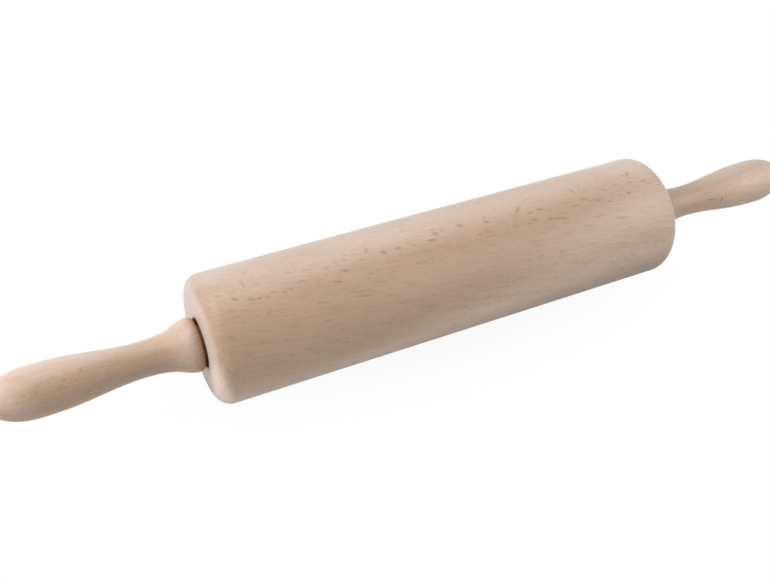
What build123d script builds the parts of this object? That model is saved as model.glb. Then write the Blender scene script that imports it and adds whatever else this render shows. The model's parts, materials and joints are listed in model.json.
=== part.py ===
from build123d import *
import os

# A revolving rolling pin. A beech barrel turns on two ball bearings, on a steel axle that
# carries a turned beech handle at each end.
# X runs along the pin, +Z is up, and the origin is the middle of the barrel, on the axle.
# All sizes are in millimetres. Stations are distances from a barrel face, outwards.

# Barrel
barrel_length = 240.0
barrel_diameter = 60.0
barrel_edge_radius = 7.0
recess_depth = 4.0
recess_margin = 0.3
recess_edge_radius = 0.4
bore_running_gap = 0.95

# Handle: the outside, from the spigot in the barrel's recess to the rounded end
handle_reach = 91.5
spigot_gap = 4.1
nose_round_length = 2.4
collar_standoff = 2.8
collar_diameter = 24.8
waist_diameter = 15.9
grip_diameter = 22.9
shoulder_share = 0.128
waist_share = 0.284
swell_share = 0.475
grip_share = 0.784
shoulder_fall_share = 0.546
swell_rise_share = 0.386

# Axle, and the blind bores that hold its ends
axle_diameter = 8.0
axle_insertion = 45.0
axle_end_chamfer = 0.8
glue_groove_count = 3
glue_groove_width = 1.2
glue_groove_depth = 0.4
glue_groove_pitch = 9.0
glue_film = 0.02
bore_end_gap = 1.0
drill_point_length = 2.4

# Ball bearing, in the proportions of the usual 8 x 22 x 7 size
bearing_outer_diameter = 22.0
bearing_width = 7.0
ball_count = 7
ball_share = 0.567
groove_radius_share = 0.52
groove_depth_share = 0.135
race_chamfer = 0.3
race_fit_gap = 0.01
ball_running_gap = 0.02
shield_thickness = 0.3
shield_inset = 0.35
shield_seat_height = 0.65
shield_running_gap = 0.15

# Ball cage: two halves, riveted between the balls
cage_band = 1.4
cage_end_wall = 0.25
pocket_gap = 0.08
rivet_diameter = 0.8
rivet_head_diameter = 1.3
rivet_head_thickness = 0.2

# Thrust washer, between the handle's spigot and the inner race
washer_thickness = 1.0
washer_slip_gap = 0.1

# How far a cutting solid runs past what it cuts
cut_overrun = 1.0

# What follows from the sizes above
face_x = barrel_length / 2
barrel_radius = barrel_diameter / 2
axle_radius = axle_diameter / 2
bearing_outer_radius = bearing_outer_diameter / 2
recess_radius = bearing_outer_radius + recess_margin
recess_floor_x = face_x - recess_depth
seat_floor_x = recess_floor_x - bearing_width
bearing_x = recess_floor_x - bearing_width / 2
race_bore_radius = axle_radius + race_fit_gap
race_outer_radius = bearing_outer_radius - race_fit_gap
pitch_radius = (axle_radius + bearing_outer_radius) / 2
ball_diameter = ball_share * min(bearing_outer_radius - axle_radius, bearing_width)
ball_radius = ball_diameter / 2
groove_radius = groove_radius_share * ball_diameter
groove_depth = groove_depth_share * ball_diameter
inner_shoulder_radius = pitch_radius - ball_radius + groove_depth
outer_shoulder_radius = pitch_radius + ball_radius - groove_depth
shield_seat_radius = outer_shoulder_radius + shield_seat_height
barrel_bore_radius = inner_shoulder_radius + bore_running_gap
spigot_radius = recess_radius - spigot_gap
spigot_x = recess_floor_x + washer_thickness
axle_end_x = face_x + axle_insertion


def turned(outline):
    """The solid that a closed outline in the XY plane sweeps round the X axis."""
    return revolve(make_face(outline), Axis.X)


def ring(start_x, end_x, inner_radius, outer_radius):
    """A square-edged ring about the X axis."""
    inner_edge = [(start_x, inner_radius), (end_x, inner_radius)]
    outer_edge = [(end_x, outer_radius), (start_x, outer_radius)]
    return turned(Polyline(*inner_edge, *outer_edge, close=True))


def circles_of(solid, radius_rank):
    """The circular edges of one radius: rank 0 is the smallest, -1 the largest."""
    return solid.edges().filter_by(GeomType.CIRCLE).group_by(SortBy.RADIUS)[radius_rank]


def face_corners(section, rank):
    """One corner of the barrel's section at each end face: rank 0 is nearest the axle, -1 farthest."""
    columns = section.vertices().group_by(Axis.X)
    return [columns[end].sort_by(Axis.Y)[rank] for end in (0, -1)]


def make_barrel():
    """The roller: rounded outer edges, and in each end a recess, a bearing seat and the through bore."""
    half = [
        (seat_floor_x, barrel_bore_radius),
        (seat_floor_x, bearing_outer_radius),
        (recess_floor_x, bearing_outer_radius),
        (recess_floor_x, recess_radius),
        (face_x, recess_radius),
        (face_x, barrel_radius),
    ]
    other_half = [(-x, radius) for x, radius in reversed(half)]
    section = make_face(Polyline(*half, *other_half, close=True))
    section = fillet(face_corners(section, -1), barrel_edge_radius)
    section = fillet(face_corners(section, 0), recess_edge_radius)
    return revolve(section, Axis.X)


def make_axle():
    """The steel rod: chamfered ends, and glue grooves where the handles hold it."""
    rod = ring(-axle_end_x, axle_end_x, 0, axle_radius)
    rod = chamfer(circles_of(rod, -1), axle_end_chamfer)
    groove_floor = axle_radius - glue_groove_depth
    for end in (1, -1):
        for number in range(glue_groove_count):
            start_x = axle_end_x - (number + 1) * glue_groove_pitch
            groove = ring(start_x, start_x + glue_groove_width, groove_floor, axle_radius + cut_overrun)
            rod -= groove if end == 1 else mirror(groove, about=Plane.YZ)
    return rod


def make_handle():
    """The right handle: spigot, rounded collar, slim waist, swelling grip, domed end and blind bore."""
    crest_x = face_x + collar_standoff
    crest_radius = collar_diameter / 2
    waist_radius = waist_diameter / 2
    grip_x = face_x + grip_share * handle_reach
    grip_radius = grip_diameter / 2
    shoulder_radius = crest_radius - shoulder_fall_share * (crest_radius - waist_radius)
    swell_radius = waist_radius + swell_rise_share * (grip_radius - waist_radius)
    nose_centre = (crest_x, spigot_radius)
    nose_rise = crest_radius - spigot_radius
    nose = EllipticalCenterArc(nose_centre, nose_round_length, nose_rise, start_angle=90, arc_size=90)
    flank = Spline(
        (crest_x, crest_radius),
        (face_x + shoulder_share * handle_reach, shoulder_radius),
        (face_x + waist_share * handle_reach, waist_radius),
        (face_x + swell_share * handle_reach, swell_radius),
        (grip_x, grip_radius),
        tangents=[(1, 0), (1, 0)],
    )
    dome_length = face_x + handle_reach - grip_x
    dome = EllipticalCenterArc((grip_x, 0), dome_length, grip_radius, start_angle=0, arc_size=90)
    bore_radius = axle_radius + glue_film
    bore_end_x = axle_end_x + bore_end_gap
    inside = Polyline(
        (face_x + handle_reach, 0),
        (bore_end_x + drill_point_length, 0),
        (bore_end_x, bore_radius),
        (spigot_x, bore_radius),
        (spigot_x, spigot_radius),
        (crest_x - nose_round_length, spigot_radius),
    )
    return turned([nose, flank, dome, *inside.edges()])


def make_thrust_washer():
    """The steel washer that keeps the wooden spigot off the bearing's shield."""
    return ring(recess_floor_x, spigot_x, axle_radius + washer_slip_gap, inner_shoulder_radius)


def groove_torus(running_radius):
    """The torus that cuts a ball groove whose deepest line runs at the given radius."""
    inwards = 1 if running_radius < pitch_radius else -1
    return Pos(X=bearing_x) * Rot(Y=90) * Torus(running_radius + inwards * groove_radius, groove_radius)


def make_inner_race():
    """The bearing's inner ring, on the axle, with its ball groove."""
    race = ring(seat_floor_x, recess_floor_x, race_bore_radius, inner_shoulder_radius)
    race = chamfer(circles_of(race, 0), race_chamfer)
    return race - groove_torus(pitch_radius - ball_radius - ball_running_gap)


def make_outer_race():
    """The bearing's outer ring, in the barrel's seat, with its ball groove and a step for each shield."""
    race = ring(seat_floor_x, recess_floor_x, outer_shoulder_radius, race_outer_radius)
    race = chamfer(circles_of(race, -1), race_chamfer)
    step = shield_inset + shield_thickness
    race -= ring(seat_floor_x, seat_floor_x + step, 0, shield_seat_radius)
    race -= ring(recess_floor_x - step, recess_floor_x, 0, shield_seat_radius)
    return race - groove_torus(pitch_radius + ball_radius + ball_running_gap)


def make_shield(start_x):
    """A pressed steel shield, in the outer race's step and clear of the inner race."""
    inner_radius = inner_shoulder_radius + shield_running_gap
    return ring(start_x, start_x + shield_thickness, inner_radius, shield_seat_radius)


def around_bearing(offset_share):
    """Places on the ball circle, one per ball, turned on by a share of the ball spacing."""
    spacing = 360 / ball_count
    turns = [(index + offset_share) * spacing for index in range(ball_count)]
    return [Pos(X=bearing_x) * Rot(X=turn) * Pos(Z=pitch_radius) * Rot(Y=90) for turn in turns]


def make_balls():
    """The ring of balls."""
    return Compound([place * Sphere(ball_radius) for place in around_bearing(0)])


def make_cage_half(side):
    """Half of the ball cage: side 1 faces the handle, side -1 the middle of the barrel."""
    half_width = ball_radius + pocket_gap + cage_end_wall
    start_x, end_x = sorted((bearing_x, bearing_x + side * half_width))
    half = ring(start_x, end_x, pitch_radius - cage_band / 2, pitch_radius + cage_band / 2)
    for place in around_bearing(0):
        half -= place * Sphere(ball_radius + pocket_gap)
    for place in around_bearing(1 / 2):
        half -= place * Cylinder(rivet_diameter / 2, bearing_width)
    return half


def make_cage_rivets():
    """The rivets between the balls, headed on both faces of the cage."""
    half_width = ball_radius + pocket_gap + cage_end_wall
    shank = Cylinder(rivet_diameter / 2, half_width * 2)
    head = Cylinder(rivet_head_diameter / 2, rivet_head_thickness)
    head_offset = half_width + rivet_head_thickness / 2
    rivet = shank + Pos(Z=head_offset) * head + Pos(Z=-head_offset) * head
    return Compound([place * rivet for place in around_bearing(1 / 2)])


def make_end_set():
    """Everything at the right end, by node name without its side."""
    return {
        "handle": make_handle(),
        "thrust_washer": make_thrust_washer(),
        "bearing_inner_race": make_inner_race(),
        "bearing_outer_race": make_outer_race(),
        "bearing_outboard_shield": make_shield(recess_floor_x - shield_inset - shield_thickness),
        "bearing_inboard_shield": make_shield(seat_floor_x + shield_inset),
        "bearing_balls": make_balls(),
        "bearing_cage_outboard_half": make_cage_half(1),
        "bearing_cage_inboard_half": make_cage_half(-1),
        "bearing_cage_rivets": make_cage_rivets(),
    }


pieces = {"barrel": make_barrel(), "axle": make_axle()}
for name, piece in make_end_set().items():
    pieces["right_" + name] = piece
    pieces["left_" + name] = mirror(piece, about=Plane.YZ)

os.makedirs("parts", exist_ok=True)
for name, piece in pieces.items():
    export_step(piece, f"parts/{name}.step")
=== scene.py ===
import json
import math

import bpy
import numpy as np
from mathutils import Matrix, Vector


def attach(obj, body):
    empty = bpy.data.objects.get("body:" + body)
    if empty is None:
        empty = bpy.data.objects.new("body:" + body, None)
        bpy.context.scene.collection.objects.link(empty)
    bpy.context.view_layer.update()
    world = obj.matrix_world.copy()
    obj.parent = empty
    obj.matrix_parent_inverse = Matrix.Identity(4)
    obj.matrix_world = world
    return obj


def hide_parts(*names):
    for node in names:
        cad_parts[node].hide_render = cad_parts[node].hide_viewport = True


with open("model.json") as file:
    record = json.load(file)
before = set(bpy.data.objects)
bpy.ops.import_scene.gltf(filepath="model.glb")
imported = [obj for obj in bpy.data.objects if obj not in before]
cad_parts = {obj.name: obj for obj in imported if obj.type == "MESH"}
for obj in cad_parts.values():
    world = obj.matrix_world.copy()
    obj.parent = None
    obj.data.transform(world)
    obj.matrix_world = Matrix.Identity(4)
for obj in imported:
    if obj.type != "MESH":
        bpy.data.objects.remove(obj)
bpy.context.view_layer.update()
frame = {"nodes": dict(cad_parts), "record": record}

# X runs along the pin, towards the right handle, and +Z is up. Sizes and places are in millimetres,
# apart from the clipping, floor, lamp and bump values, which are in metres.
MM = 0.001

# Barrel, as its solid has it
FACE_X = 120.0
BARREL_RADIUS = 30.0
EDGE_RADIUS = 7.0
RECESS_FLOOR_X = 116.0
RECESS_RADIUS = 11.3
RECESS_EDGE_RADIUS = 0.4
SEAT_FLOOR_X = 109.0
SEAT_RADIUS = 11.0
BORE_RADIUS = 7.0013

# Handle, as its solid has it: the shares of its length are of its reach past the barrel's face
HANDLE_REACH = 91.5
SPIGOT_RADIUS = 7.2
SPIGOT_X = 117.0
COLLAR_STANDOFF = 2.8
COLLAR_RADIUS = 12.4
NOSE_LENGTH = 2.4
WAIST_RADIUS = 7.95
GRIP_RADIUS = 11.45
SHOULDER_SHARE = 0.128
WAIST_SHARE = 0.284
SWELL_SHARE = 0.475
GRIP_SHARE = 0.784
SHOULDER_FALL_SHARE = 0.546
SWELL_RISE_SHARE = 0.386
AXLE_BORE_RADIUS = 4.02
AXLE_BORE_END_X = 166.0
DRILL_POINT_LENGTH = 2.4

# What follows from those sizes
CREST_X = FACE_X + COLLAR_STANDOFF
SHOULDER_RADIUS = COLLAR_RADIUS - SHOULDER_FALL_SHARE * (COLLAR_RADIUS - WAIST_RADIUS)
SWELL_RADIUS = WAIST_RADIUS + SWELL_RISE_SHARE * (GRIP_RADIUS - WAIST_RADIUS)
GRIP_X = FACE_X + GRIP_SHARE * HANDLE_REACH
FLANK = (
    (CREST_X, COLLAR_RADIUS),
    (FACE_X + SHOULDER_SHARE * HANDLE_REACH, SHOULDER_RADIUS),
    (FACE_X + WAIST_SHARE * HANDLE_REACH, WAIST_RADIUS),
    (FACE_X + SWELL_SHARE * HANDLE_REACH, SWELL_RADIUS),
    (GRIP_X, GRIP_RADIUS),
)

# How fine the meshes are: the spacing of rings along straight runs, rings on each round stretch, and
# segments round the axle
SIDE_PITCH = 1.5
FACE_PITCH = 0.5
RECESS_PITCH = 1.0
INNER_PITCH = 2.0
HANDLE_BORE_PITCH = 3.0
BARREL_BORE_PITCH = 5.0
EDGE_RINGS = 25
RECESS_EDGE_RINGS = 7
NOSE_RINGS = 17
FLANK_RINGS = 110
DOME_RINGS = 41
BARREL_SEGMENTS = 256
HANDLE_SEGMENTS = 160
SHARP_ANGLE = 35
SAME_PLACE = 1e-6

# Camera: angles in degrees, and how far the barrel's middle lies to its right, above it and away
LENS = 45.69
SENSOR_WIDTH = 36.0
CAMERA_AZIMUTH = -25.65
CAMERA_ELEVATION = 37.8
BARREL_FROM_CAMERA = (26.91, 8.28, 471.1)
CLIP_START = 0.01
CLIP_END = 20

# Floor and background: the floor's shadow is an ellipse under the pin
FLOOR_Z = -30.0 * MM
FLOOR_HALF = 1.5
FLOOR_COLOUR = (0.80, 0.80, 0.80, 1)
WHITE = (1, 1, 1, 1)
WORLD_LIGHT = 0.03
SHADOW_SQUEEZE = (0.4, 1, 0)
SHADOW_START = 0.01
SHADOW_END = 0.07
SHADOW_DEPTH = 0.06

# Lamps: place and target, width and height, how bright the face is, and whether shiny surfaces mirror it
MIDDLE = (0, 0, 0)
LAMPS = {
    "back_low": ((0.30, 0.95, 0.28), MIDDLE, (1.2, 0.5), 0.6, True),
    "back_middle": ((0.38, 0.85, 0.72), MIDDLE, (1.0, 0.5), 1.3, True),
    "back_high": ((0.38, 0.48, 1.0), MIDDLE, (0.9, 0.5), 1.6, True),
    "overhead": ((0.35, 0.05, 1.0), MIDDLE, (0.9, 0.6), 0.1, True),
    "left": ((-0.85, 0.05, 0.40), (-0.15, 0, 0), (0.5, 0.5), 4.2, False),
    "left_low": ((-0.95, 0.15, 0.16), (-0.15, 0, 0), (0.5, 0.3), 4.6, False),
    "left_overhead": ((-0.24, 0.0, 0.62), (-0.05, 0, 0), (0.4, 0.4), 3.3, True),
    "right_front": ((0.75, -0.50, 0.45), (0.15, 0, 0), (0.9, 0.9), 1.65, True),
    "front": ((0.10, -0.95, 0.30), MIDDLE, (0.8, 0.5), 0.2, True),
}

# Steels, by material slot: name, colour, roughness, how far the fine lines stretch in x, y and z, and
# how many lie in a metre. A noise has a detail and a roughness.
STEELS = {
    "axle_steel": ("drawn_axle_steel", (0.56, 0.56, 0.55), 0.34, (30, 1, 1), 4000),
    "bearing_steel": ("ground_bearing_steel", (0.66, 0.66, 0.66), 0.22, (1, 6, 6), 9000),
    "bearing_balls": ("polished_ball_steel", (0.74, 0.74, 0.75), 0.10, (1, 1, 1), 1500),
    "pressed_steel": ("pressed_sheet_steel", (0.60, 0.59, 0.57), 0.36, (1, 1, 1), 2500),
}
STEEL_LINE_NOISE = (4.0, 0.6)
STEEL_CLOUDS_PER_METRE = (180, 180, 180)
STEEL_CLOUD_DETAIL = 3.0
STEEL_LINE_CONTRAST = 0.16
STEEL_CLOUD_CONTRAST = 0.14
STEEL_ROUGHNESS_SPREAD = 0.18
STEEL_BUMP_STRENGTH = 0.3
STEEL_BUMP_HEIGHT = 0.00001

# Beech: the colours of its plain wood, a pale colour for its end grain and its painted light, and what
# rays and painted shade multiply them by
OLIVE_WOOD = (0.487, 0.329, 0.199, 1)
PINK_WOOD = (0.503, 0.325, 0.209, 1)
PALE_WOOD_AND_PAINTED_LIGHT = (0.645, 0.485, 0.38, 1)
RAY_TINT = (0.66, 0.54, 0.38)
PAINTED_SHADE_TINT = (0.64, 0.48, 0.41)

# The grain is measured along, around and out from the pith. It wanders by two noises: the size of
# their lumps, their detail, and how far each moves the grain outwards and around, with its place in
# the noise.
PITH_DISTANCE = 75.0
WANDERS = (
    ((45, 16, 16), 2.0, (5.0, (3.1, 7.7)), (1.6, (13.4, 1.9))),
    ((11, 5, 5), 1.0, (1.6, (6.6, 4.2)), (1.2, (1.6, 8.8))),
)

# Noises of the grain: the size of their lumps, detail, roughness and place in the noise
GRAIN_NOISES = {
    "streak": ((14, 0.9, 0.9), 3.0, 0.6, (1.0, 2.0)),
    "fibre": ((2.6, 0.22, 0.22), 2.0, 0.6, (4.0, 6.0)),
    "pore": ((0.7, 0.08, 0.08), 0.0, 0.5, (8.0, 3.0)),
    "patch": ((45, 7, 7), 2.0, 0.5, (9.0, 9.0)),
    "hue": ((40, 9, 9), 3.0, 0.6, (2.0, 17.0)),
    "vein": ((17, 1.9, 1.9), 1.0, 0.5, (7.0, 5.0)),
    "vein_break": ((8, 3, 3), 1.0, 0.5, (3.0, 11.0)),
}
PORE_EDGE = (0.62, 0.78)
HUE_EDGE = (0.35, 0.65)
VEIN_EDGE = (0.065, 0.0)
VEIN_BREAK_EDGE = (0.42, 0.60)
RING_WIDTH = 2.3
RING_GATHERING = 4.0
RING_EDGE = (1.0, 0.93)
CHANNEL_POWERS = (0.8, 1.0, 1.25)

# How much each part of the figure adds to the lightness of the wood
STREAK_LIGHT = 0.26
FIBRE_LIGHT = 0.16
PORE_LIGHT = -0.08
PATCH_LIGHT = 0.26
RING_LIGHT = -0.08
VEIN_LIGHT = -0.10

# Sanded surface
PLAIN_ROUGHNESS = 0.45
FIBRE_ROUGHNESS = 0.25
RAY_ROUGHNESS = -0.10
FIBRE_HEIGHT = 0.5
STREAK_HEIGHT = 0.4
PORE_HEIGHT = -0.5
RAY_HEIGHT = 0.5
WOOD_BUMP_STRENGTH = 0.5
WOOD_BUMP_HEIGHT = 0.00003
WOOD_IOR = 1.5
SHEEN = 0.45
SHEEN_ROUGHNESS = 0.45

# Scattered rays, broad ones first: the size of the cells that hold one each, half the size of a ray,
# both along, around and out from the pith, the place in the noise and the share of cells that are full
RAYS = (
    ((4.5, 1.3, 3.4), (1.5, 0.22, 1.6), (0.3, 0.7), 0.35),
    ((6.0, 1.2, 2.0), (1.9, 0.30, 0.6), (5.3, 2.7), 0.50),
    ((3.0, 0.9, 1.4), (1.1, 0.20, 0.4), (2.3, 9.7), 0.60),
)
RAY_SIZES = (0.55, 1.15)
RAY_STRENGTHS = (0.45, 1.0)
RAY_EDGE = (1.15, 0.7)
FULL_CELL_BLEND = 0.05
SPECKLES_PER_MM = (0.9, 1.5, 1.5)
SPECKLE_DETAIL = 1.0
RAGGEDNESS = 1.3
BROAD_RAYS_FADE = (4.0, 12.0, 1.0, 0.15)

# Rays that lie where a table says, in tables of place along x, turn up from the front, length, width
# and slant: turns and slants are in degrees. A mark's soft edge reaches past its size.
MARK_HALF = 0.56
MARK_EDGE = (1.45, 0.35)
FAR_AWAY = 10.0

DARK_FLECKS = (
    (-105.4, 67.0, 3.0, 1.0, -35),
    (-95.2, 62.0, 2.1, 1.0, -8),
    (-60.0, 56.7, 4.2, 1.0, -15),
    (-55.4, 65.0, 4.0, 0.9, -14),
    (-35.2, 71.9, 2.9, 1.7, -48),
    (-27.9, 71.8, 3.0, 1.7, -8),
    (-11.3, 70.6, 3.8, 1.4, -14),
    (-7.9, 76.2, 3.2, 1.7, -35),
    (5.2, 77.8, 3.2, 1.9, -38),
    (18.3, 73.6, 2.9, 1.5, -48),
    (36.2, 77.0, 5.0, 1.8, 46),
    (41.4, 70.5, 3.2, 1.1, 4),
    (46.8, 71.0, 3.6, 1.2, -8),
    (49.4, 59.3, 3.0, 1.0, -6),
    (54.2, 57.0, 8.0, 0.8, -14),
    (95.7, 62.8, 2.2, 1.2, 10),
    (101.8, 84.0, 3.2, 1.8, 52),
)
MIDDLING_FLECKS = (
    (-99.8, 80.2, 4.4, 1.2, 97),
    (-98.5, 62.9, 4.2, 1.3, -14),
    (-91.7, 61.5, 2.2, 1.4, -20),
    (-84.0, 61.2, 2.6, 1.1, -15),
    (-81.2, 61.8, 2.6, 1.1, -25),
    (-74.6, 66.2, 3.4, 1.0, -42),
    (-62.6, 71.5, 2.4, 1.4, -55),
    (-50.5, 39.2, 7.0, 0.8, -12),
    (-42.0, 78.4, 3.2, 2.4, 60),
    (-42.0, 47.0, 6.8, 0.7, -15),
    (-20.0, 70.3, 2.6, 1.2, -18),
    (-8.0, 81.2, 3.2, 1.3, -5),
    (-4.2, 77.7, 3.0, 1.8, 90),
    (12.0, 63.0, 3.0, 0.9, -14),
    (15.9, 63.4, 4.2, 1.3, -16),
    (18.6, 79.0, 2.6, 1.1, 30),
    (30.9, 60.5, 3.4, 0.9, -16),
    (41.5, 62.0, 3.2, 1.1, -10),
    (49.6, 50.1, 3.4, 0.8, -14),
    (64.8, 65.1, 3.8, 0.8, -17),
    (68.4, 82.2, 4.6, 1.4, 98),
    (71.0, 68.8, 4.0, 1.4, -4),
    (73.5, 86.0, 4.0, 1.0, 60),
    (73.7, 64.9, 1.8, 0.9, -15),
    (76.0, 48.5, 7.0, 0.9, -4),
    (77.8, 63.4, 3.2, 1.1, -12),
    (83.7, 59.4, 2.4, 0.8, -14),
    (86.6, 41.8, 7.0, 0.7, -12),
    (91.6, 75.1, 3.4, 1.3, -8),
    (99.8, 73.5, 3.2, 1.1, -8),
    (107.0, 70.5, 2.4, 1.5, 0),
)
FAINT_FLECKS = (
    (-108.3, 57.8, 4.0, 1.1, -14),
    (-103.3, 55.6, 3.4, 0.8, -12),
    (-94.0, 75.0, 2.8, 1.2, -45),
    (-88.7, 63.8, 4.0, 1.1, -20),
    (-79.0, 77.5, 3.0, 1.3, -15),
    (-77.0, 51.6, 4.4, 0.8, -12),
    (-75.9, 84.0, 3.6, 1.1, 98),
    (-71.4, 76.0, 2.2, 1.0, -25),
    (-68.9, 43.2, 4.0, 0.7, -12),
    (-67.6, 62.3, 3.6, 1.1, 4),
    (-57.5, 74.5, 3.2, 1.6, -40),
    (-36.0, 47.0, 4.0, 0.7, -14),
    (-23.6, 62.0, 6.0, 1.0, -3),
    (-22.0, 73.8, 2.4, 1.4, -25),
    (-15.0, 54.6, 3.6, 0.8, -14),
    (25.8, 84.6, 2.2, 1.2, 40),
    (26.2, 67.2, 2.8, 1.0, -20),
    (38.4, 59.8, 3.0, 1.0, -8),
    (41.3, 84.0, 2.4, 1.1, 52),
    (46.0, 51.0, 4.4, 0.7, -13),
    (67.8, 42.6, 6.4, 0.9, -12),
    (83.6, 72.8, 3.0, 1.1, -25),
    (109.3, 66.4, 3.0, 1.2, -10),
)
LEFT_CLEAR_FLECKS = (
    (-171.7, 58.0, 1.9, 0.7, 108),
    (-179.1, 44.9, 0.9, 0.8, 20),
    (-190.6, 37.2, 0.9, 0.8, 0),
    (-195.4, 36.8, 0.9, 0.8, 0),
)
LEFT_FAINT_FLECKS = (
    (-174.5, 38.0, 1.4, 0.7, 90),
    (-181.3, 33.6, 2.2, 1.0, 10),
    (-184.9, 48.6, 1.2, 0.9, 40),
    (-187.5, 63.0, 1.9, 0.8, 95),
    (-191.5, 2.5, 1.6, 0.8, 0),
    (-192.5, 37.2, 1.5, 0.9, 0),
    (-194.4, 16.5, 1.4, 0.8, 0),
    (-198.6, 26.7, 1.5, 0.8, 15),
)
RIGHT_CLEAR_FLECKS = (
    (157.4, 16.4, 3.2, 0.8, -18),
    (164.3, 7.5, 2.6, 1.4, 60),
)
RIGHT_FAINT_FLECKS = (
    (148.0, 9.9, 2.2, 0.9, 60),
)

# The three woods. pith is where the pith crosses the plane x = 0, in y and z, and slope how far it
# moves in y and z for each millimetre along x. end_grain is where the paler end grain starts and
# where it is full, from the middle. figure is how strong the grain's contrast is. ray_shares are how
# dark the broad, small and fine rays are. marks are the tables above with how dark each is, and
# mark_radius is how far from the axle they lie.
# The rows of the other three start with what a place is measured by, and two measures:
#   pale zones: how pale the wood is from the second measure on; most of them are painted light
#   painted light and shade: what the lightness is multiplied by up to the first and from the second
#   painted shade: how much painted shade darkens the wood and how much its gloss is dulled, up to the
#       first
# A place is measured along a direction, times the direction's length, or out from the axle.
FROM_AXIS = None
TO_RIGHT = (1, 0, 0)
TO_LEFT = (-1, 0, 0)
UP_AND_BACK = (0, 0.57, 0.82)
DOWN_AND_FORWARD = (0, -0.57, -0.82)
BARREL_FALL = (1, 0, -4)
LEFT_FACE = (-1.5, -0.25, -0.3)

BARREL_WOOD = {
    "seed": 0.0,
    "pith": (56.2, 42.0),
    "slope": (-0.04, -0.16),
    "end_grain": (118.0, 119.9),
    # Painted light: paler over the lower right of the barrel, along its top, at the top of its left end,
    # on the lower left face and inside the recess. The row towards the right pales the right end's rounded
    # edge.
    "pale_and_painted_light_zones": (
        (BARREL_FALL, -55, 30, 0.60),
        ((-0.02, 0, 1), 27.0, 30.5, 0.30),
        ((-1, 2, 3), 180, 212, 0.70),
        (LEFT_FACE, 180, 186, 1.0),
        (TO_RIGHT, 113.5, 118.5, 0.80),
        (FROM_AXIS, 11.9, 11.4, 1.0),
    ),
    # Painted light and shade: lighter over the lower right, darker towards the bottom edge, lighter on the
    # lower left face and inside the recess.
    "painted_light_rows": (
        (BARREL_FALL, -55, 30, 1.0, 1.12),
        ((-0.08, 0, 1), -21, -4, 0.70, 1.0),
        (LEFT_FACE, 182, 187, 1.0, 1.16),
        (FROM_AXIS, 11.9, 11.4, 1.0, 1.3),
    ),
    # Painted shade and dulling: no gloss inside the recess, and a darker, duller bottom edge.
    "painted_shade_rows": (
        (FROM_AXIS, 11.4, 11.9, 0.0, 1.0),
        ((-0.05, 0, 1), -22, -4, 0.15, 0.9),
    ),
    "figure": 1.0,
    "ray_shares": (0.80, 0.46, 0.28),
    "marks": ((1.0, DARK_FLECKS), (0.62, MIDDLING_FLECKS), (0.40, FAINT_FLECKS)),
    "mark_radius": BARREL_RADIUS,
}
LEFT_WOOD = {
    "seed": 31.0,
    "pith": (-20.0, 60.0),
    "slope": (0.03, 0.05),
    "end_grain": (187.0, 207.0),
    # Painted light: paler on the upper side and towards the collar.
    "pale_and_painted_light_zones": (
        (UP_AND_BACK, 3, 11, 0.95),
        (TO_RIGHT, -142, -124, 0.80),
    ),
    # Painted light and shade: darker from the neck outwards and lighter on the collar, lighter towards the
    # rounded end, lighter above and darker underneath.
    "painted_light_rows": (
        (TO_RIGHT, -150, -126, 0.92, 1.11),
        (TO_LEFT, 150, 211, 1.0, 1.20),
        (UP_AND_BACK, -14, 14, 0.88, 1.06),
    ),
    # Painted shade: darker in the gap at the collar's nose and under the rounded end; duller underneath.
    "painted_shade_rows": (
        (TO_LEFT, 120.8, 127.0, 0.75, 1.0),
        (UP_AND_BACK, -12, -5, 0.0, 0.8),
        ((1, 0.57, 0.82), -215, -201, 0.5, 0.9),
    ),
    "figure": 0.8,
    "ray_shares": (0.45, 0.36, 0.30),
    "marks": ((0.7, LEFT_CLEAR_FLECKS), (0.3, LEFT_FAINT_FLECKS)),
    "mark_radius": 10.5,
}
RIGHT_WOOD = {
    "seed": 57.0,
    "pith": (48.0, -30.0),
    "slope": (0.04, 0.03),
    "end_grain": (203.0, 211.0),
    # Painted light: paler towards the bulb.
    "pale_and_painted_light_zones": (
        (TO_RIGHT, 140, 185, 0.50),
    ),
    # Painted light and shade: lighter towards the bulb, darker along the lower and upper edges and on the
    # top of the neck.
    "painted_light_rows": (
        (TO_RIGHT, 135, 180, 1.0, 1.27),
        (UP_AND_BACK, -11, -2, 0.80, 1.0),
        (DOWN_AND_FORWARD, -11, -2, 0.80, 1.0),
        ((0.3, -0.57, -0.82), 34, 41, 0.82, 1.0),
    ),
    # Painted shade: darker in the gap at the collar's nose; duller underneath.
    "painted_shade_rows": (
        (TO_RIGHT, 120.8, 127.5, 1.0, 1.0),
        (UP_AND_BACK, -12, -5, 0.0, 0.8),
    ),
    "figure": 1.0,
    "ray_shares": (0.45, 0.36, 0.30),
    "marks": ((1.0, RIGHT_CLEAR_FLECKS), (0.4, RIGHT_FAINT_FLECKS)),
    "mark_radius": 9.0,
}


def make_camera():
    """The photograph's camera: the barrel's middle lies right of and above the image centre."""
    azimuth, elevation = math.radians(CAMERA_AZIMUTH), math.radians(CAMERA_ELEVATION)
    back = Vector((
        math.sin(azimuth) * math.cos(elevation),
        -math.cos(azimuth) * math.cos(elevation),
        math.sin(elevation),
    ))
    right = Vector((math.cos(azimuth), math.sin(azimuth), 0))
    up = back.cross(right)
    across, above, away = BARREL_FROM_CAMERA
    place = (back * away - right * across - up * above) * MM
    data = bpy.data.cameras.new("photo_camera")
    data.lens = LENS
    data.sensor_width = SENSOR_WIDTH
    data.clip_start = CLIP_START
    data.clip_end = CLIP_END
    camera = bpy.data.objects.new("photo_camera", data)
    rotation = Matrix((right, up, back)).transposed().to_4x4()
    camera.matrix_world = Matrix.Translation(place) @ rotation
    bpy.context.scene.collection.objects.link(camera)
    bpy.context.scene.camera = camera


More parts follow.
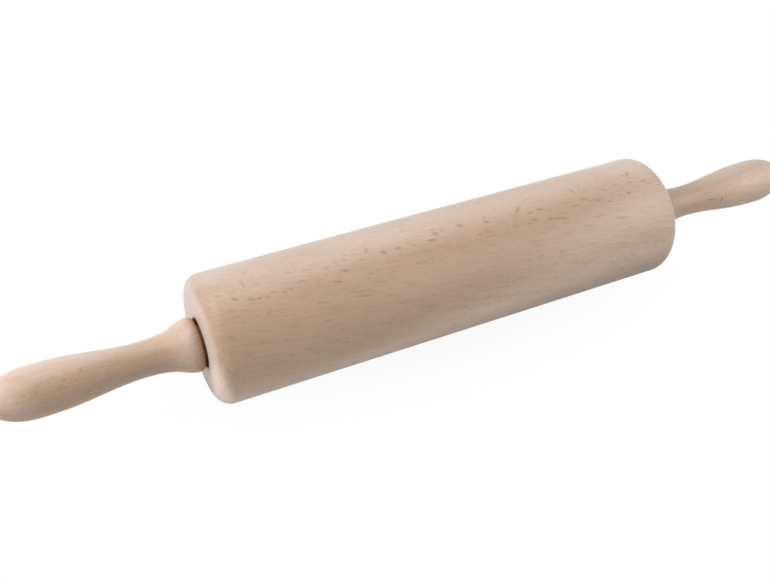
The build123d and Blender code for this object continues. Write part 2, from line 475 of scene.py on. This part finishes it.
class Tree:
    """A node tree being filled: small calls for the nodes that the materials use."""

    def __init__(self, tree):
        self.tree = tree
        self.tree.nodes.clear()

    def add(self, kind, inputs=(), **settings):
        """A new node, with its settings and what goes into its sockets."""
        node = self.tree.nodes.new(kind)
        for name, value in settings.items():
            setattr(node, name, value)
        for key, value in dict(inputs).items():
            self.feed(node.inputs[key], value)
        return node

    def feed(self, socket, value):
        """Link an output to a socket, or set a number or colour on it."""
        if isinstance(value, bpy.types.NodeSocket):
            self.tree.links.new(value, socket)
        else:
            socket.default_value = value

    def math(self, operation, *values):
        node = self.add("ShaderNodeMath", operation=operation)
        for socket, value in zip(node.inputs, values):
            self.feed(socket, value)
        return node.outputs[0]

    def vector(self, operation, *values):
        node = self.add("ShaderNodeVectorMath", operation=operation)
        for socket, value in zip(node.inputs, values):
            self.feed(socket, value)
        return node.outputs["Value" if operation in ("LENGTH", "DOT_PRODUCT") else "Vector"]

    def scale(self, vector, factor):
        node = self.add("ShaderNodeVectorMath", operation="SCALE")
        self.feed(node.inputs[0], vector)
        self.feed(node.inputs["Scale"], factor)
        return node.outputs["Vector"]

    def join(self, x, y, z):
        return self.add("ShaderNodeCombineXYZ", {"X": x, "Y": y, "Z": z}).outputs[0]

    def split(self, vector):
        return self.add("ShaderNodeSeparateXYZ", {"Vector": vector}).outputs

    def noise(self, vector, detail=2.0, roughness=0.5, offset=(0, 0, 0)):
        moved = self.vector("ADD", vector, offset)
        inputs = {"Vector": moved, "Scale": 1.0, "Detail": detail, "Roughness": roughness}
        return self.add("ShaderNodeTexNoise", inputs, noise_dimensions="3D").outputs["Fac"]

    def centred(self, noise):
        """A noise that runs from 0 to 1, moved to swing either way about nought."""
        return self.math("SUBTRACT", noise, 0.5)

    def ramp(self, value, start, end, low=0.0, high=1.0, smooth=True):
        """From low at start to high at end, and level beyond both."""
        inputs = {"Value": value, "From Min": start, "From Max": end, "To Min": low, "To Max": high}
        kind = "SMOOTHSTEP" if smooth else "LINEAR"
        return self.add("ShaderNodeMapRange", inputs, interpolation_type=kind, clamp=True).outputs[0]

    def mix(self, share, first, second):
        """The first of two colours where share is 0, the second where it is 1."""
        node = self.add("ShaderNodeMix", data_type="RGBA")
        self.feed(node.inputs["Factor"], share)
        for key, value in (("A", first), ("B", second)):
            socket = next(s for s in node.inputs if s.name == key and s.type == "RGBA")
            self.feed(socket, value)
        return next(s for s in node.outputs if s.type == "RGBA")


def new_material(name):
    material = bpy.data.materials.new(name)
    material.use_nodes = True
    return material, Tree(material.node_tree)


def grain_place(tree, point, wood):
    """A place in the tree's own terms: along, around and out from the pith, which is outside the piece."""
    seed, pith, slope = wood["seed"], wood["pith"], wood["slope"]
    x, y, z = tree.split(point)
    from_pith_y = tree.math("SUBTRACT", y, tree.math("MULTIPLY_ADD", x, slope[0], pith[0]))
    from_pith_z = tree.math("SUBTRACT", z, tree.math("MULTIPLY_ADD", x, slope[1], pith[1]))
    out = tree.vector("LENGTH", tree.join(from_pith_y, from_pith_z, 0.0))
    around = tree.math("MULTIPLY", tree.math("ARCTAN2", from_pith_z, from_pith_y), PITH_DISTANCE)
    for size, detail, (outwards, out_offset), (sideways, around_offset) in WANDERS:
        lumps = tree.vector("MULTIPLY", point, tuple(1 / length for length in size))
        sway_out = tree.centred(tree.noise(lumps, detail, offset=(seed, *out_offset)))
        sway_around = tree.centred(tree.noise(lumps, detail, offset=(seed, *around_offset)))
        out = tree.math("MULTIPLY_ADD", sway_out, outwards, out)
        around = tree.math("MULTIPLY_ADD", sway_around, sideways, around)
    return tree.join(x, around, out)


def scattered_rays(tree, grain, rays, seed, ragged):
    """Thin lens-shaped rays scattered through the wood: 1 inside a ray, 0 outside."""
    cell, half, offset, full_share = rays
    scaled = tree.vector("ADD", tree.vector("DIVIDE", grain, cell), (seed, *offset))
    inputs = {"Vector": scaled, "Scale": 1.0, "Randomness": 1.0}
    cells = tree.add("ShaderNodeTexVoronoi", inputs, voronoi_dimensions="3D", feature="F1")
    away = tree.vector("SUBTRACT", scaled, cells.outputs["Position"])
    stretch = tuple(whole / part for whole, part in zip(cell, half))
    distance = tree.vector("LENGTH", tree.vector("MULTIPLY", away, stretch))
    chance = tree.split(cells.outputs["Color"])
    size = tree.ramp(chance[1], 0.0, 1.0, *RAY_SIZES, smooth=False)
    edge = tree.math("ADD", tree.math("DIVIDE", distance, size), ragged)
    inside = tree.ramp(edge, *RAY_EDGE)
    full = tree.ramp(chance[0], full_share, full_share + FULL_CELL_BLEND, 1.0, 0.0, smooth=False)
    strength = tree.ramp(chance[2], 0.0, 1.0, *RAY_STRENGTHS, smooth=False)
    return tree.math("MULTIPLY", tree.math("MULTIPLY", inside, full), strength)


def nearest_mark(tree, along, around, marks, radius, nearest):
    """How far a place lies from the nearest mark, in units of that mark's size.

    Each step carries the nearest so far as its third coordinate, so the renderer works the marks
    out one after the other and holds few values at a time.
    """
    for x, turn, length, width, slant in marks:
        inputs = {
            "Vector": tree.join(along, around, nearest),
            "Location": (x, radius * math.radians(turn), 0),
            "Rotation": (0, 0, math.radians(slant)),
            "Scale": (MARK_HALF * length, MARK_HALF * width, 1),
        }
        inside = tree.add("ShaderNodeMapping", inputs, vector_type="TEXTURE").outputs[0]
        away = tree.vector("LENGTH", tree.vector("MULTIPLY", inside, (1, 1, 0)))
        nearest = tree.math("MINIMUM", away, nearest)
    return nearest


def placed_marks(tree, point, ragged, marks, radius):
    """The rays that lie where a table says: 1 in the darkest, 0 outside them all.

    The first distance of each table is worked out from the table before, times nought, for the
    same reason as in nearest_mark.
    """
    x, y, z = tree.split(point)
    turn = tree.math("ARCTAN2", z, tree.math("MULTIPLY", y, -1.0))
    around = tree.math("MULTIPLY", turn, radius)
    strongest = 0.0
    for strength, rows in marks:
        start = tree.math("MULTIPLY_ADD", strongest, 0.0, FAR_AWAY)
        edge = tree.math("ADD", nearest_mark(tree, x, around, rows, radius, start), ragged)
        strongest = tree.math("MAXIMUM", tree.ramp(edge, *MARK_EDGE, 0.0, strength), strongest)
    return strongest


def all_rays(tree, point, grain, wood):
    """How dark the rays make a place. The broad scattered ones fade upwards, where the marks lie."""
    seed = wood["seed"]
    speckles = tree.vector("MULTIPLY", point, SPECKLES_PER_MM)
    speckle = tree.noise(speckles, SPECKLE_DETAIL, offset=(seed, 0, 0))
    ragged = tree.math("MULTIPLY", tree.centred(speckle), RAGGEDNESS)
    broad, small, fine = (scattered_rays(tree, grain, rays, seed, ragged) for rays in RAYS)
    broad = tree.math("MULTIPLY", broad, tree.ramp(tree.split(point)["Z"], *BROAD_RAYS_FADE))
    dark = placed_marks(tree, point, ragged, wood["marks"], wood["mark_radius"])
    for rays, share in zip((broad, small, fine), wood["ray_shares"]):
        dark = tree.math("MAXIMUM", tree.math("MULTIPLY", rays, share), dark)
    return dark


def late_wood(tree, grain, seed):
    """The darker wood of each growth ring: it gathers outwards and stops at the next ring."""
    rings = tree.math("ADD", tree.math("DIVIDE", tree.split(grain)["Z"], RING_WIDTH), seed)
    within = tree.math("FRACT", rings)
    gathered = tree.math("POWER", within, RING_GATHERING)
    return tree.math("MULTIPLY", gathered, tree.ramp(within, *RING_EDGE))


def lightness(tree, grain, noises, pores, wood):
    """The light and dark of the grain, about 1."""
    near_vein = tree.ramp(tree.math("ABSOLUTE", tree.centred(noises["vein"])), *VEIN_EDGE)
    veins = tree.math("MULTIPLY", near_vein, tree.ramp(noises["vein_break"], *VEIN_BREAK_EDGE))
    light = 1.0
    for part, weight in (
        (tree.centred(noises["streak"]), STREAK_LIGHT),
        (tree.centred(noises["fibre"]), FIBRE_LIGHT),
        (pores, PORE_LIGHT),
        (tree.centred(noises["patch"]), PATCH_LIGHT),
        (late_wood(tree, grain, wood["seed"]), RING_LIGHT),
        (veins, VEIN_LIGHT),
    ):
        light = tree.math("MULTIPLY_ADD", part, weight, light)
    return tree.math("MULTIPLY_ADD", tree.math("SUBTRACT", light, 1.0), wood["figure"], 1.0)


def measure(tree, point, direction):
    """How far a place lies along a direction, or out from the axle for FROM_AXIS."""
    if direction is FROM_AXIS:
        return tree.vector("LENGTH", tree.vector("MULTIPLY", point, (0, 1, 1)))
    return tree.vector("DOT_PRODUCT", point, direction)


def paleness(tree, point, wood):
    """How pale a place is: the end grain, and the pale zones, most of which are painted light."""
    palest = tree.ramp(tree.math("ABSOLUTE", tree.split(point)["X"]), *wood["end_grain"])
    for direction, start, finish, pale in wood["pale_and_painted_light_zones"]:
        zone = tree.ramp(measure(tree, point, direction), start, finish, 0.0, pale)
        palest = tree.math("MAXIMUM", palest, zone)
    return palest


def shading(tree, point, wood):
    """What the painted light and shade multiply the lightness of a place by."""
    product = 1.0
    for direction, start, finish, low, high in wood["painted_light_rows"]:
        shade = tree.ramp(measure(tree, point, direction), start, finish, low, high)
        product = tree.math("MULTIPLY", shade, product)
    return product


def painted_shade_and_gloss(tree, point, wood):
    """How much painted shade darkens a place, and how much of its gloss is left."""
    painted_darkness, gloss = 0.0, 1.0
    for direction, start, finish, darkness_share, dulled in wood["painted_shade_rows"]:
        reach = tree.ramp(measure(tree, point, direction), start, finish, 1.0, 0.0)
        painted_darkness = tree.math("MAXIMUM", tree.math("MULTIPLY", reach, darkness_share), painted_darkness)
        gloss = tree.math("MULTIPLY", tree.math("MULTIPLY_ADD", reach, -dulled, 1.0), gloss)
    return painted_darkness, gloss


def make_beech(name, wood):
    """Solid beech, the same all through: growth rings, fibres, pores, rays, and sanded faces, with painted
    light and shade in its colour.
    """
    material, tree = new_material(name)
    point = tree.scale(tree.add("ShaderNodeTexCoord").outputs["Object"], 1 / MM)
    grain = grain_place(tree, point, wood)
    noises = {}
    for noise_name, (size, detail, roughness, offset) in GRAIN_NOISES.items():
        lumps = tree.vector("MULTIPLY", grain, tuple(1 / length for length in size))
        noises[noise_name] = tree.noise(lumps, detail, roughness, (wood["seed"], *offset))
    pores = tree.ramp(noises["pore"], *PORE_EDGE)
    light = lightness(tree, grain, noises, pores, wood)
    rays = all_rays(tree, point, grain, wood)
    painted_darkness, gloss = painted_shade_and_gloss(tree, point, wood)

    plain = tree.mix(tree.ramp(noises["hue"], *HUE_EDGE), OLIVE_WOOD, PINK_WOOD)
    # The paleness carries painted light.
    plain = tree.mix(paleness(tree, point, wood), plain, PALE_WOOD_AND_PAINTED_LIGHT)
    warmth = tree.join(*(tree.math("POWER", light, power) for power in CHANNEL_POWERS))
    # The painted light and shade multiply the colour here.
    lit = tree.scale(tree.vector("MULTIPLY", plain, warmth), shading(tree, point, wood))
    rayed = tree.mix(rays, lit, tree.vector("MULTIPLY", lit, RAY_TINT))
    # Painted shade darkens the colour here.
    colour = tree.mix(painted_darkness, rayed, tree.vector("MULTIPLY", rayed, PAINTED_SHADE_TINT))

    height = tree.math("MULTIPLY", noises["streak"], STREAK_HEIGHT)
    height = tree.math("MULTIPLY_ADD", noises["fibre"], FIBRE_HEIGHT, height)
    height = tree.math("MULTIPLY_ADD", pores, PORE_HEIGHT, height)
    height = tree.math("MULTIPLY_ADD", rays, RAY_HEIGHT, height)
    bump = tree.add("ShaderNodeBump", {
        "Height": height,
        "Strength": WOOD_BUMP_STRENGTH,
        "Distance": WOOD_BUMP_HEIGHT,
    })
    rough = tree.math("MULTIPLY_ADD", tree.centred(noises["fibre"]), FIBRE_ROUGHNESS, PLAIN_ROUGHNESS)
    rough = tree.math("MULTIPLY_ADD", rays, RAY_ROUGHNESS, rough)

    shader = tree.add("ShaderNodeBsdfPrincipled", {
        "Base Color": colour,
        "Roughness": rough,
        "Normal": bump.outputs[0],
        "IOR": WOOD_IOR,
        "Specular IOR Level": gloss,
        "Sheen Weight": tree.math("MULTIPLY", gloss, SHEEN),
        "Sheen Roughness": SHEEN_ROUGHNESS,
        "Sheen Tint": WHITE,
    })
    tree.add("ShaderNodeOutputMaterial", {"Surface": shader.outputs[0]})
    return material


def make_steel(name, colour, roughness, stretch, lines_per_metre):
    """Bare steel with fine drawn or ground lines."""
    material, tree = new_material(name)
    place = tree.add("ShaderNodeTexCoord").outputs["Object"]
    stretched = tree.vector("MULTIPLY", place, tuple(lines_per_metre / length for length in stretch))
    lines = tree.noise(stretched, *STEEL_LINE_NOISE)
    cloud = tree.noise(tree.vector("MULTIPLY", place, STEEL_CLOUDS_PER_METRE), STEEL_CLOUD_DETAIL)
    shade = tree.math("MULTIPLY_ADD", tree.centred(lines), STEEL_LINE_CONTRAST, 1.0)
    shade = tree.math("MULTIPLY_ADD", tree.centred(cloud), STEEL_CLOUD_CONTRAST, shade)
    bump = tree.add("ShaderNodeBump", {
        "Height": lines,
        "Strength": STEEL_BUMP_STRENGTH,
        "Distance": STEEL_BUMP_HEIGHT,
    })
    shader = tree.add("ShaderNodeBsdfPrincipled", {
        "Base Color": tree.scale(colour, shade),
        "Metallic": 1.0,
        "Roughness": tree.math("MULTIPLY_ADD", tree.centred(cloud), STEEL_ROUGHNESS_SPREAD, roughness),
        "Normal": bump.outputs[0],
    })
    tree.add("ShaderNodeOutputMaterial", {"Surface": shader.outputs[0]})
    return material


def arc(centre, radii, start, end, count):
    """Points of an elliptical arc in the (x, radius) plane, angles in degrees."""
    turns = np.radians(np.linspace(start, end, count))
    return [(centre[0] + radii[0] * math.cos(t), centre[1] + radii[1] * math.sin(t)) for t in turns]


def line(start, end, pitch):
    """Evenly spaced points of a straight run, both ends included."""
    count = max(1, round(math.dist(start, end) / pitch))
    return [tuple(np.add(start, np.subtract(end, start) * i / count)) for i in range(count + 1)]


def end_speeds(knots, places):
    """How fast the solid's own curve leaves and arrives, which shapes its first and last spans.

    It takes both speeds from the parabola through the first three points, as the sum of the sizes
    of the parts along x and along the radius.
    """
    fits = [np.polyfit(places[:3], knots[:3, axis], 2) for axis in (0, 1)]
    return [sum(abs(2 * fit[0] * place + fit[1]) for fit in fits) for place in (places[0], places[-1])]


def clamped_spline(points, count):
    """A smooth curve through points, running along x at both ends."""
    knots = np.array(points, float)
    steps = np.linalg.norm(np.diff(knots, axis=0), axis=1)
    places = np.concatenate(([0], np.cumsum(steps)))
    size = len(knots)
    matrix = np.zeros((size, size))
    right = np.zeros((size, 2))
    matrix[0, 0] = matrix[-1, -1] = 1
    right[0, 0], right[-1, 0] = end_speeds(knots, places)
    for i in range(1, size - 1):
        before, after = steps[i - 1], steps[i]
        matrix[i, i - 1:i + 2] = after, 2 * (before + after), before
        rise_before = (knots[i] - knots[i - 1]) / before
        rise_after = (knots[i + 1] - knots[i]) / after
        right[i] = 3 * (after * rise_before + before * rise_after)
    slopes = np.linalg.solve(matrix, right)
    curve = []
    for place in np.linspace(0, places[-1], count):
        i = min(int(np.searchsorted(places, place, side="right")) - 1, size - 2)
        t = (place - places[i]) / steps[i]
        first_share = (1 + 2 * t) * (1 - t) ** 2
        second_share = t * t * (3 - 2 * t)
        first_pull = t * (1 - t) ** 2 * steps[i]
        second_pull = t * t * (t - 1) * steps[i]
        at_knots = first_share * knots[i] + second_share * knots[i + 1]
        curve.append(tuple(at_knots + first_pull * slopes[i] + second_pull * slopes[i + 1]))
    return curve


def without_repeats(points):
    """The points, without those that lie on the one before."""
    kept = [points[0]]
    for point in points[1:]:
        if math.dist(point, kept[-1]) > SAME_PLACE:
            kept.append(point)
    return kept


def other_end(outline):
    """The outline mirrored to the other end, in the order that keeps its outside on the same hand."""
    return [(-x, radius) for x, radius in reversed(outline)]


def barrel_outline():
    """The barrel's section from the middle of the bore round to the middle again, as (x, radius)."""
    side_end_x = FACE_X - EDGE_RADIUS
    edge_centre = (side_end_x, BARREL_RADIUS - EDGE_RADIUS)
    rim_centre = (FACE_X - RECESS_EDGE_RADIUS, RECESS_RADIUS + RECESS_EDGE_RADIUS)
    half = line((0, BARREL_RADIUS), (side_end_x, BARREL_RADIUS), SIDE_PITCH)
    half += arc(edge_centre, (EDGE_RADIUS, EDGE_RADIUS), 90, 0, EDGE_RINGS)
    half += line((FACE_X, edge_centre[1]), (FACE_X, rim_centre[1]), FACE_PITCH)
    half += arc(rim_centre, (RECESS_EDGE_RADIUS, RECESS_EDGE_RADIUS), 0, -90, RECESS_EDGE_RINGS)
    half += line((rim_centre[0], RECESS_RADIUS), (RECESS_FLOOR_X, RECESS_RADIUS), RECESS_PITCH)
    half += line((RECESS_FLOOR_X, RECESS_RADIUS), (RECESS_FLOOR_X, SEAT_RADIUS), RECESS_PITCH)
    half += line((RECESS_FLOOR_X, SEAT_RADIUS), (SEAT_FLOOR_X, SEAT_RADIUS), INNER_PITCH)
    half += line((SEAT_FLOOR_X, SEAT_RADIUS), (SEAT_FLOOR_X, BORE_RADIUS), INNER_PITCH)
    half += line((SEAT_FLOOR_X, BORE_RADIUS), (0, BORE_RADIUS), BARREL_BORE_PITCH)
    return without_repeats(half + other_end(half))[:-1]


def handle_outline():
    """The right handle's section from the bottom of its blind bore out to the rounded end."""
    bore_end = (AXLE_BORE_END_X, AXLE_BORE_RADIUS)
    outline = line((AXLE_BORE_END_X + DRILL_POINT_LENGTH, 0), bore_end, INNER_PITCH)
    outline += line(bore_end, (SPIGOT_X, AXLE_BORE_RADIUS), HANDLE_BORE_PITCH)
    outline += line((SPIGOT_X, AXLE_BORE_RADIUS), (SPIGOT_X, SPIGOT_RADIUS), RECESS_PITCH)
    outline += line((SPIGOT_X, SPIGOT_RADIUS), (CREST_X - NOSE_LENGTH, SPIGOT_RADIUS), RECESS_PITCH)
    nose_radii = (NOSE_LENGTH, COLLAR_RADIUS - SPIGOT_RADIUS)
    outline += arc((CREST_X, SPIGOT_RADIUS), nose_radii, 180, 90, NOSE_RINGS)
    outline += clamped_spline(FLANK, FLANK_RINGS)
    dome_radii = (FACE_X + HANDLE_REACH - GRIP_X, GRIP_RADIUS)
    outline += arc((GRIP_X, 0), dome_radii, 90, 0, DOME_RINGS)
    return without_repeats(outline)


def spun_vertices(outline, segments):
    """The vertices of an outline spun round the X axis, in metres, and the numbers in each ring."""
    vertices, rings = [], []
    for x, radius in outline:
        first = len(vertices)
        if radius < SAME_PLACE:
            rings.append([first] * segments)
            vertices.append((x * MM, 0, 0))
            continue
        rings.append(list(range(first, first + segments)))
        for step in range(segments):
            turn = math.tau * step / segments
            vertices.append((x * MM, radius * math.cos(turn) * MM, radius * math.sin(turn) * MM))
    return vertices, rings


def spin(name, outline, segments, closed):
    """A mesh swept round the X axis from an outline of (x, radius) points.

    Its faces look outwards where the outside of the outline runs towards +X. Its UV map unrolls
    it: along the outline one way, round the axis the other way.
    """
    vertices, rings = spun_vertices(outline, segments)
    lengths = [0.0]
    for before, after in zip(outline, outline[1:] + outline[:1]):
        lengths.append(lengths[-1] + math.dist(before, after))
    count = len(outline) if closed else len(outline) - 1
    total = lengths[count]
    faces, corners = [], []
    for i in range(count):
        near, far = rings[i], rings[(i + 1) % len(outline)]
        for step in range(segments):
            following = (step + 1) % segments
            quad = {}
            for vertex, ring, turned in (
                (near[step], i, step),
                (near[following], i, step + 1),
                (far[following], i + 1, step + 1),
                (far[step], i + 1, step),
            ):
                quad.setdefault(vertex, (lengths[ring] / total, turned / segments))
            faces.append(list(quad))
            corners.extend(quad.values())
    mesh = bpy.data.meshes.new(name)
    mesh.from_pydata(vertices, [], faces)
    mesh.validate()
    unrolled = mesh.uv_layers.new(name="OFBake")
    unrolled.data.foreach_set("uv", np.array(corners, np.float32).ravel())
    mesh.shade_smooth()
    mesh.set_sharp_from_angle(angle=math.radians(SHARP_ANGLE))
    piece = bpy.data.objects.new(name, mesh)
    bpy.context.scene.collection.objects.link(piece)
    return piece


def dress(piece, material, body, node):
    """The piece wears the material, rides on its body and stands for a solid."""
    piece.data.materials.append(material)
    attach(piece, body)
    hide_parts(node)


def seen_directly(tree):
    """1 for rays that see the background itself or its mirror image, 0 for rays that light things."""
    path = tree.add("ShaderNodeLightPath").outputs
    seen = tree.math("MAXIMUM", path["Is Camera Ray"], path["Is Glossy Ray"])
    return tree.math("MAXIMUM", seen, path["Is Transmission Ray"])


def blend(tree, share, first, second):
    """One shader that is the second of two where share is 1."""
    inputs = {0: share, 1: first.outputs[0], 2: second.outputs[0]}
    return tree.add("ShaderNodeMixShader", inputs).outputs[0]


def make_world():
    """A white backdrop where it is seen, which adds only a little light."""
    world = bpy.data.worlds.new("studio")
    world.use_nodes = True
    bpy.context.scene.world = world
    tree = Tree(world.node_tree)
    lit = tree.add("ShaderNodeBackground", {"Color": WHITE, "Strength": WORLD_LIGHT})
    seen = tree.add("ShaderNodeBackground", {"Color": WHITE, "Strength": 1.0})
    surface = blend(tree, seen_directly(tree), lit, seen)
    tree.add("ShaderNodeOutputWorld", {"Surface": surface})


def make_floor():
    """A plain white floor. Seen directly it is white, with a soft shadow near the object."""
    near, far = -FLOOR_HALF, FLOOR_HALF
    corners = [(near, near, FLOOR_Z), (far, near, FLOOR_Z), (far, far, FLOOR_Z), (near, far, FLOOR_Z)]
    mesh = bpy.data.meshes.new("floor")
    mesh.from_pydata(corners, [], [(0, 1, 2, 3)])
    floor = bpy.data.objects.new("floor", mesh)
    bpy.context.scene.collection.objects.link(floor)
    material, tree = new_material("white_floor")
    lit = tree.add("ShaderNodeBsdfDiffuse", {"Color": FLOOR_COLOUR})
    white = tree.add("ShaderNodeEmission", {"Color": WHITE, "Strength": 1.0})
    place = tree.add("ShaderNodeTexCoord").outputs["Object"]
    away = tree.vector("LENGTH", tree.vector("MULTIPLY", place, SHADOW_SQUEEZE))
    shadow = tree.ramp(away, SHADOW_START, SHADOW_END, SHADOW_DEPTH, 0.0)
    bright = tree.math("MULTIPLY", seen_directly(tree), tree.math("SUBTRACT", 1.0, shadow))
    tree.add("ShaderNodeOutputMaterial", {"Surface": blend(tree, bright, lit, white)})
    mesh.materials.append(material)


def make_lamp(name, place, target, size, radiance, mirrored):
    """A soft square lamp that looks at target. radiance is how bright its face is."""
    data = bpy.data.lights.new(name, "AREA")
    data.shape = "RECTANGLE"
    data.size, data.size_y = size
    data.energy = radiance * math.pi * size[0] * size[1]
    lamp = bpy.data.objects.new(name, data)
    lamp.location = place
    lamp.visible_camera = False
    lamp.visible_glossy = mirrored
    lamp.rotation_mode = "QUATERNION"
    lamp.rotation_quaternion = (Vector(target) - Vector(place)).to_track_quat("-Z", "Y")
    bpy.context.scene.collection.objects.link(lamp)


bpy.context.scene.view_settings.view_transform = "Standard"
make_camera()
make_world()
make_floor()
for name, lamp in LAMPS.items():
    make_lamp(name, *lamp)

barrel_beech = make_beech("barrel_beech", BARREL_WOOD)
left_beech = make_beech("left_handle_beech", LEFT_WOOD)
right_beech = make_beech("right_handle_beech", RIGHT_WOOD)

barrel = spin("beech_barrel", barrel_outline(), BARREL_SEGMENTS, closed=True)
right_outline = handle_outline()
right_handle = spin("beech_right_handle", right_outline, HANDLE_SEGMENTS, closed=False)
left_handle = spin("beech_left_handle", other_end(right_outline), HANDLE_SEGMENTS, closed=False)
dress(barrel, barrel_beech, "barrel", "barrel")
dress(left_handle, left_beech, "handles", "left_handle")
dress(right_handle, right_beech, "handles", "right_handle")

steel_for_slot = {slot: make_steel(*look) for slot, look in STEELS.items()}
for row in frame["record"]["subparts"]:
    if row["material_slot"] in steel_for_slot:
        node = frame["nodes"][row["node"]]
        node.data.materials.clear()
        node.data.materials.append(steel_for_slot[row["material_slot"]])
